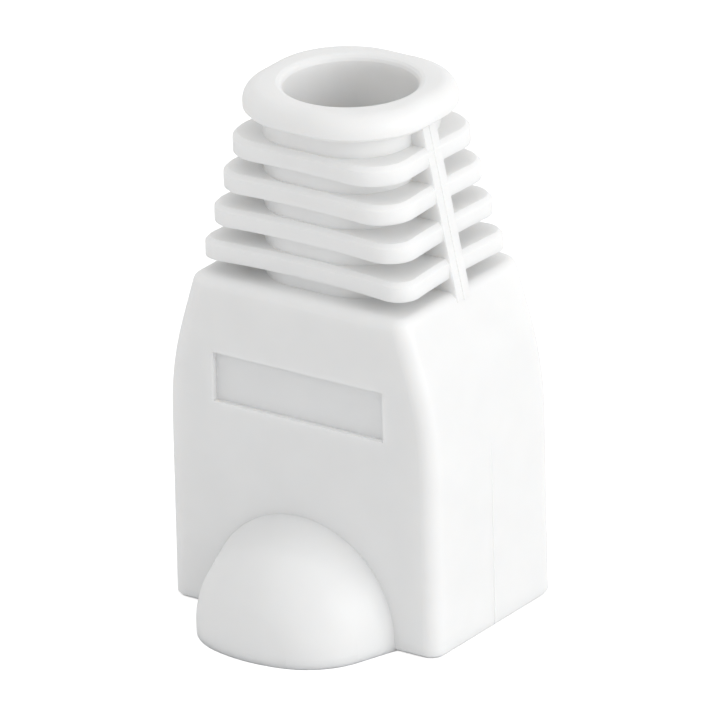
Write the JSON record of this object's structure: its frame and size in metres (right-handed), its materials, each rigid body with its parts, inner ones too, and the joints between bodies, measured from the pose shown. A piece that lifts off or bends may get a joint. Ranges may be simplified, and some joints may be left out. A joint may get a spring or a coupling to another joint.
{
  "type": "rj45 strain relief boot",
  "caption": "Slip-on plug boot, one moulded piece: open plug housing, domed latch cover and flexible flanged cable neck.",
  "frame": {"origin": "on the plug's middle line, in the plane of the mouth where the plug goes in; the cable's axis is 0.15 mm nearer the latch cover", "axes": "+Z along the cable, away from the plug; +X across the width; -Y towards the latch cover"},
  "size_m": [0.0142, 0.0137, 0.024],
  "materials": {
    "boot": "soft satin, moulded PVC"
  },
  "bodies": {
    "root": {"boot": "boot"}
  },
  "joints": []
}
